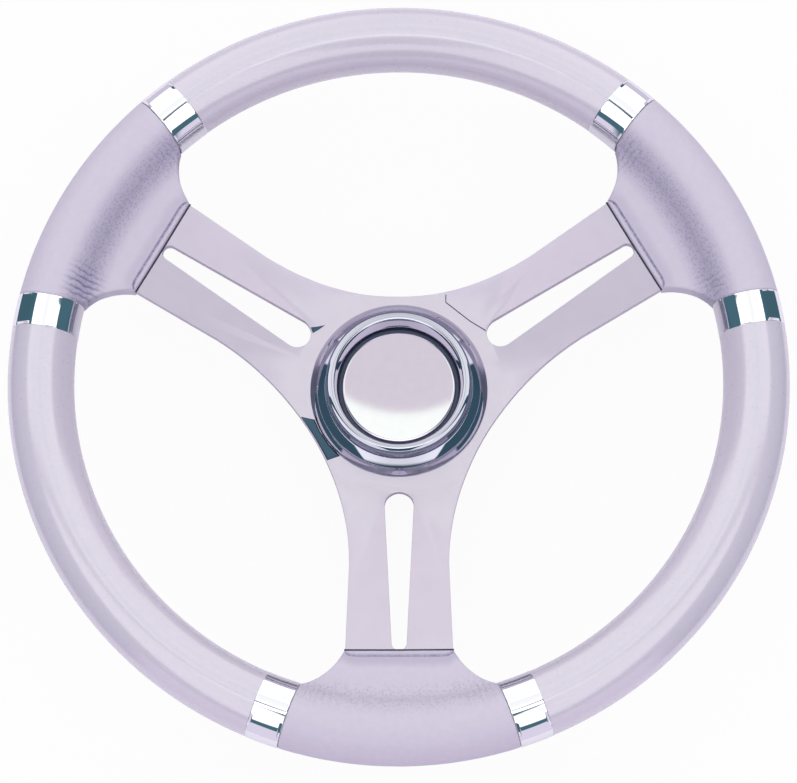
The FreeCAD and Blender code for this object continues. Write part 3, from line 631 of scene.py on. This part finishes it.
def grained_urethane():
    """Matt moulding with a pebbled grain, deepest in the valley. Painted shade
    darkens its pits, the side grips' valleys, the groove, hollow and wrinkles.
    Leather grain is 0.5 to 1 mm wide, so it is drawn a little coarser, to show."""
    material, tree, surface, where = surface_finish(
        "grained_grip_urethane", 0.0, ("#c0b9ca", "#c8c2d1"), 0.55, patches=(3.0, 5.0))
    colour = surface.inputs["Base Color"].links[0].from_socket
    cells = add_node(tree, "TexVoronoi", {"Vector": where, "Scale": 1 / GRAIN_SIZE}, feature="F1")
    distance = cells.outputs["Distance"]
    flat = add_node(tree, "VectorMath", {0: where, 1: (1, 1, 0)}, operation="MULTIPLY")
    ring = add_node(tree, "VectorMath", {0: flat}, operation="LENGTH").outputs["Value"]
    off = add_node(tree, "Math", {0: ring, 1: VALLEY_RING}, operation="SUBTRACT")
    off = add_node(tree, "Math", {0: off}, operation="ABSOLUTE")
    valley = add_node(tree, "MapRange", {"Value": off, "From Min": VALLEY_FULL,
                                         "From Max": VALLEY_FADE, **FALLING}, **SMOOTH)
    deeper = add_node(tree, "MapRange", {"Value": valley, "To Min": GRAIN_FLATTEST, "To Max": 1.0})
    depth = add_node(tree, "Math", {0: distance, 1: deeper}, operation="MULTIPLY")
    # Painted shade in the pits of the grain, strongest in the valley.
    pits = add_node(tree, "MapRange", {"Value": distance, "From Min": PIT_FROM,
                                       "From Max": PIT_TO, **FALLING}, **SMOOTH)
    pits = add_node(tree, "Math", {0: pits, 1: valley}, operation="MULTIPLY")
    pits = add_node(tree, "Math", {0: pits, 1: PIT_SHADE}, operation="MULTIPLY")
    # Painted shade in the valleys of the left and right grips, none on the bottom one.
    along = add_node(tree, "SeparateXYZ", {0: where}).outputs["Y"]
    side_grip = add_node(tree, "MapRange", {"Value": along, "From Min": SIDE_SHADE_FROM,
                                            "From Max": SIDE_SHADE_TO}, **SMOOTH)
    side_valley_shade = add_node(tree, "Math", {0: valley, 1: side_grip}, operation="MULTIPLY")
    side_valley_shade = add_node(tree, "Math", {0: side_valley_shade, 1: SIDE_VALLEY_SHADE}, operation="MULTIPLY")
    # The painted shade of the groove, hollow and wrinkle creases, kept on the mesh.
    painted_crease_shade = add_node(tree, "Attribute", attribute_name="painted_crease_shade").outputs["Fac"]
    shade = add_node(tree, "Math", {0: pits, 1: side_valley_shade}, operation="ADD")
    shade = add_node(tree, "Math", {0: shade, 1: painted_crease_shade}, operation="ADD", use_clamp=True)
    # All the painted shade darkens the skin towards this violet grey.
    darker = add_node(tree, "Mix", {"Factor": shade, 6: colour, 7: linear("#7d7799")}, **RGB)
    tree.links.new(darker.outputs[2], surface.inputs["Base Color"])
    grain = add_node(tree, "Bump", {"Height": depth, "Strength": GRAIN_STRENGTH,
                                    "Distance": GRAIN_DEPTH * MM})
    tree.links.new(grain.outputs[0], surface.inputs["Normal"])
    return material


grip_finish = grained_urethane()
blank = grip_blank()
for name, degrees in SPOKES.items():
    mesh = bmesh.new()
    mesh.from_mesh(blank)
    near_seam = [edge for edge in mesh.edges
                 if min(vert.co.x for vert in edge.verts) < SEAM + FINE_REACH]
    bmesh.ops.subdivide_edges(mesh, edges=near_seam, cuts=1, use_grid_fill=True)
    mesh.normal_update()
    # Each vertex keeps its painted shade for the groove, hollow and wrinkles.
    painted_crease_shade = mesh.verts.layers.float.new("painted_crease_shade")
    reliefs = [(vert, vert.normal.copy(), *grip_relief(vert.co, vert.normal, name))
               for vert in mesh.verts]
    for vert, normal, rise, shade_amount in reliefs:
        vert.co += normal * rise * MM
        vert[painted_crease_shade] = shade_amount
    bmesh.ops.rotate(mesh, verts=mesh.verts, matrix=Matrix.Rotation(math.radians(degrees), 3, "Z"))
    add_piece("grip_moulding_" + name, mesh, grip_finish, "grip_skin", "grip_" + name)


# Bands
# Short chrome-plated brass sleeves that close the joints between the
# segments and the grips, a hair proud of the rim, with rounded ends.
BANDS = {
    "left_upper": ("left", -1),
    "left_lower": ("left", 1),
    "right_upper": ("right", 1),
    "right_lower": ("right", -1),
    "bottom_left": ("bottom", -1),
    "bottom_right": ("bottom", 1),
}
BAND_RADIUS = 15.0 * MM
BAND_INNER_RADIUS = 13.0 * MM
BAND_END_ROUND = 0.25 * MM
HALF_SLEEVE_TURN = math.radians(4)
SLEEVE_SIDES, SLEEVE_STEPS = 96, 16
ON_END = 0.01 * MM


def chrome(name, colour):
    """Polished plating: it mirrors the room, a little waved from buffing, in
    waves 7 mm long."""
    return surface_finish(name, 1.0, colour, (0.024, 0.06), rubs=(1.2, 3.0),
                          relief=(7.0, 1.0, 0.015))[0]


def band_sleeve():
    """A sleeve on the rim's circle with ends square to it, centred on X."""
    mesh = bmesh.new()
    for radius in (BAND_RADIUS, BAND_INNER_RADIUS):
        made = bmesh.ops.create_circle(mesh, segments=SLEEVE_SIDES, radius=radius)["verts"]
        bmesh.ops.rotate(mesh, verts=made, matrix=Matrix.Rotation(math.radians(90), 3, "X"))
        bmesh.ops.translate(mesh, verts=made, vec=(RIM_RADIUS, 0, RIM_LEVEL))
    bmesh.ops.rotate(mesh, verts=mesh.verts, matrix=Matrix.Rotation(-HALF_SLEEVE_TURN, 3, "Z"))
    bmesh.ops.spin(mesh, geom=mesh.edges[:] + mesh.verts[:], axis=(0, 0, 1), cent=(0, 0, 0),
                   angle=HALF_SLEEVE_TURN * 2, steps=SLEEVE_STEPS)
    for side in (1, -1):
        bmesh.ops.bisect_plane(mesh, geom=mesh.verts[:] + mesh.edges[:] + mesh.faces[:],
                               plane_co=(0, side * HALF_BAND, 0), plane_no=(0, side, 0),
                               clear_outer=True)
        ends = [edge for edge in mesh.edges if edge.is_boundary
                and all(abs(vert.co.y - side * HALF_BAND) < ON_END for vert in edge.verts)]
        bmesh.ops.bridge_loops(mesh, edges=ends)
    bmesh.ops.recalc_face_normals(mesh, faces=mesh.faces)
    middle = (BAND_RADIUS + BAND_INNER_RADIUS) / 2
    outer_ends = [
        edge for edge in mesh.edges
        if all(abs(abs(vert.co.y) - HALF_BAND) < ON_END
               and math.hypot(math.hypot(vert.co.x, vert.co.y) - RIM_RADIUS,
                              vert.co.z - RIM_LEVEL) > middle for vert in edge.verts)]
    bmesh.ops.bevel(mesh, geom=outer_ends, offset=BAND_END_ROUND, segments=4, profile=0.5,
                    affect="EDGES", material=-1)
    return mesh


band_chrome = chrome("chrome_band_plating", "#f3f4f7")
for name, (spoke, side) in BANDS.items():
    mesh = band_sleeve()
    turn = math.radians(SPOKES[spoke]) + side * BAND_ANGLE
    bmesh.ops.rotate(mesh, verts=mesh.verts, matrix=Matrix.Rotation(turn, 3, "Z"))
    add_piece("chrome_band_" + name, mesh, band_chrome, "band_chrome", "band_" + name)


# Chrome ring
# A turned and chromed brass ring: a thin foot on the plate, a skirt of two
# round slopes, an upright neck and a crest round the well of the cap.
TURN_STEPS = 256
LEVEL_WITHIN = 0.01 * MM
RING_CORNER = 0.25


def spin_round(mesh, points):
    """Turns a closed line of radius and height in mm round the shaft axis."""
    verts, edges = loop_edges(mesh, [Vector(point) * MM for point in points], standing)
    bmesh.ops.spin(mesh, geom=edges + verts, axis=(0, 0, 1), cent=(0, 0, 0),
                   angle=math.tau, steps=TURN_STEPS, use_merge=True)


def turned_mesh(points, corner_round):
    """A turned part with its sharp corners rounded, in mm."""
    mesh = bmesh.new()
    spin_round(mesh, points)
    bmesh.ops.remove_doubles(mesh, verts=mesh.verts, dist=MERGE_WITHIN * 2)
    bmesh.ops.recalc_face_normals(mesh, faces=mesh.faces)
    sharp = [edge for edge in mesh.edges if edge.is_manifold
             and edge.calc_face_angle() > SHARP_TURN
             and abs(edge.verts[0].co.z - edge.verts[1].co.z) < LEVEL_WITHIN]
    bmesh.ops.bevel(mesh, geom=sharp, offset=corner_round * MM, segments=3, profile=0.5,
                    affect="EDGES", material=-1, clamp_overlap=True)
    return mesh


RING_SECTION = [(40.4, 42.0), (40.4, 42.6)]
RING_SECTION += arc_between((40.4, 42.6), (37.42, 46.48), 20.0, True, 12)
RING_SECTION += [(37.37, 46.54)]
RING_SECTION += arc_between((37.37, 46.54), (33.5, 49.1), 40.0, True, 10)
RING_SECTION += [(33.5, 48.7), (33.15, 48.7), (33.15, 56.5), (32.5, 56.5), (32.5, 57.3)]
RING_SECTION += arc_between((32.5, 57.3), (29.2, 57.7), 4.2, True, 12)
RING_SECTION += [(28.6, 56.0), (26.9, 48.0), (28.3, 44.8), (22.1, 44.8), (22.1, 42.0),
                 (30.5, 42.0), (30.5, 47.8), (33.5, 47.8), (38.2, 42.6), (38.2, 42.0)]
ring_chrome = chrome("chrome_ring_plating", "#bbbac8")
add_piece("chrome_hub_ring", turned_mesh(RING_SECTION, RING_CORNER), ring_chrome,
          "bezel_chrome", "hub_bezel")


# Cap and gasket
# The cap is a shallow chromed dome with a pale satin lacquer, pressed into its
# seal. The edge of its flat black rubber gasket shows round it.


def plain_finish(name, colour, metallic, roughness):
    """A plain surface, a little unevenly worn, with a faint cast or moulded
    skin 0.8 mm across."""
    return surface_finish(name, metallic, colour, (roughness * 0.8, roughness * 1.2),
                          rubs=(3.0, 3.0), relief=(0.8, 2.0, 0.02))[0]


# Chrome under a pale satin lacquer: it mirrors the panels above as one even
# face with a violet cast.
satin_cap = surface_finish("satin_cap_chrome", 1.0, ("#cac2cf", "#d0c8d5"), (0.04, 0.06),
                           patches=(4.0, 4.0), rubs=(2.0, 2.0))[0]
CAP_CORNER = 0.4
CAP_SECTION = [(0.0, 46.4), (14.5, 46.4), (14.5, 37.4), (17.9, 37.4), (17.9, 46.4),
               (25.6, 46.4), (25.6, 48.4)]
CAP_SECTION += arc_between((25.6, 48.4), (0.0, 48.9), 655.6, True, 24)
add_piece("cap_turning", turned_mesh(CAP_SECTION, CAP_CORNER), satin_cap, "cap_face",
          "centre_cap")

# Black rubber bloomed to a blue grey, dull. The same finish paints shade into
# the chrome ring's joints.
rubber_and_joint_shade = plain_finish("black_rubber_and_joint_shade", "#56637d", 0.0, 0.5)
dress("cap_seal", rubber_and_joint_shade)
dress("cap_gasket", rubber_and_joint_shade)


# Joint shade
# Thin dark rings in the two joints of the chrome ring, under its crest and at
# the foot of its neck: painted shade in the shadow lines there.
JOINTS = [
    [(32.51, 56.51), (33.14, 56.51), (33.1, 56.9), (32.51, 57.1)],
    [(33.16, 48.71), (33.49, 48.71), (33.49, 49.0), (33.16, 49.0)],
]
joint_mesh = bmesh.new()
for section in JOINTS:
    spin_round(joint_mesh, section)
bmesh.ops.recalc_face_normals(joint_mesh, faces=joint_mesh.faces)
add_piece("ring_joint_painted_shade", joint_mesh, rubber_and_joint_shade, "seal_rubber")


# Seam beads
# A dark bead along each seam where a grip's web ends on the plate, half a
# millimetre high: painted shade, dark where the seam's shadow gap lies.
BEAD_HEIGHT = 0.5 * MM
BEAD_STEPS = 24
BEAD_WIDTHS = {"left": 0.7 * MM, "right": 0.7 * MM, "bottom": 1.0 * MM}

# Painted shade and painted reflection: a dark, dull colour for the seam beads
# and for the line along the plate's bend.
painted_line_shade = plain_finish("painted_seam_and_bend_lines", "#2c3048", 0.0, 0.45)


def follow_plate(mesh, middle):
    """Lifts flat strips to the front of the dished plate, at their middles."""
    for vert in mesh.verts:
        radius = math.hypot(vert.co.x, vert.co.y)
        vert.co.z += PLATE_FRONT + max(radius - BEND_RADIUS, 0) * SPOKE_RISE - middle


for name, degrees in SPOKES.items():
    bead_width = BEAD_WIDTHS[name]
    bead = bmesh.new()
    bmesh.ops.create_grid(bead, x_segments=1, y_segments=BEAD_STEPS, size=0.5)
    bmesh.ops.scale(bead, verts=bead.verts, vec=(bead_width, SEAM_HALF * 2, 1))
    bmesh.ops.translate(bead, verts=bead.verts, vec=(SEAM - bead_width / 2, 0, 0))
    raise_faces(bead, BEAD_HEIGHT)
    follow_plate(bead, BEAD_HEIGHT / 2)
    bmesh.ops.rotate(bead, verts=bead.verts, matrix=Matrix.Rotation(math.radians(degrees), 3, "Z"))
    add_piece("seam_bead_" + name, bead, painted_line_shade, "seal_rubber")


# Marks at the bends
# Painted reflections where the sheet bends: a fine dark line beside the upper
# right spoke, and dark sheets in a wedge under the ring's lower left edge and
# at a slot.
BEND_LINE = [(21.7, 45.2), (21.6, 41.7), (32.5, 32.8), (39.8, 28.1)]
BEND_LINE_WIDTH = 0.45
MARK_CUTS = 4
WEDGE = [((-44.6, -12.2), (-44.4, -12.6)), ((-38.4, -13.6), (-41.3, -17.2)),
         ((-36.0, -18.9), (-38.9, -21.0)), ((-31.8, -25.2), (-35.6, -26.8)),
         ((-26.8, -30.6), (-32.6, -32.6))]
SLOT_SPOT = [((-40.3, 29.8), (-39.3, 27.3)), ((-33.8, 31.0), (-36.8, 28.8))]
MARK_HEIGHT = 0.12 * MM


def plate_mark(name, pairs, material):
    """A thin sheet on the front of the plate, through pairs of points in mm."""
    mark = bmesh.new()
    sides = [[mark.verts.new(Vector(point).to_3d() * MM) for point in pair] for pair in pairs]
    for (left, right), (next_left, next_right) in zip(sides, sides[1:]):
        mark.faces.new((left, right, next_right, next_left))
    bmesh.ops.subdivide_edges(mark, edges=mark.edges[:], cuts=MARK_CUTS, use_grid_fill=True)
    raise_faces(mark, MARK_HEIGHT * 2)
    follow_plate(mark, MARK_HEIGHT)
    add_piece(name, mark, material, "spoke_metal")


# Painted reflection: a thin dark line along the bend beside the upper right spoke.
bend_line_sides = []
for at, corner in enumerate(BEND_LINE):
    line = Vector(BEND_LINE[min(at + 1, len(BEND_LINE) - 1)]) - Vector(BEND_LINE[max(at - 1, 0)])
    across = Vector((-line.y, line.x)).normalized() * BEND_LINE_WIDTH / 2
    bend_line_sides.append((Vector(corner) + across, Vector(corner) - across))
plate_mark("bend_reflection_line", bend_line_sides, painted_line_shade)
# Painted reflection: a smooth blue-grey metal, dark where the bent sheet
# mirrors the dark sides of the room.
bend_reflection_metal = plain_finish("painted_bend_reflection", "#41576a", 1.0, 0.3)
plate_mark("bend_reflection_wedge", WEDGE, bend_reflection_metal)
plate_mark("bend_reflection_slot", SLOT_SPOT, bend_reflection_metal)


# Hub, screws and core
# The parts that the front view hides: the cast and machined hub behind the
# plate, its six plated screws and the bare steel ring inside the rim.
HIDDEN_FINISHES = (
    # Cast aluminium, dull with a fine sand skin.
    ("hub", "cast_aluminium", "#b9b6be", 0.42, "hub_metal"),
    # Zinc-plated steel, brighter and smoother.
    ("hub_screws", "zinc_screw_steel", "#a9a9ad", 0.35, "screw_steel"),
    # Bare drawn steel, grey and scuffed.
    ("rim_core", "bare_core_steel", "#8d8f94", 0.5, "core_steel"),
)
for node_name, finish_name, colour, roughness, slot in HIDDEN_FINISHES:
    dress(node_name, plain_finish(finish_name, colour, 1.0, roughness))
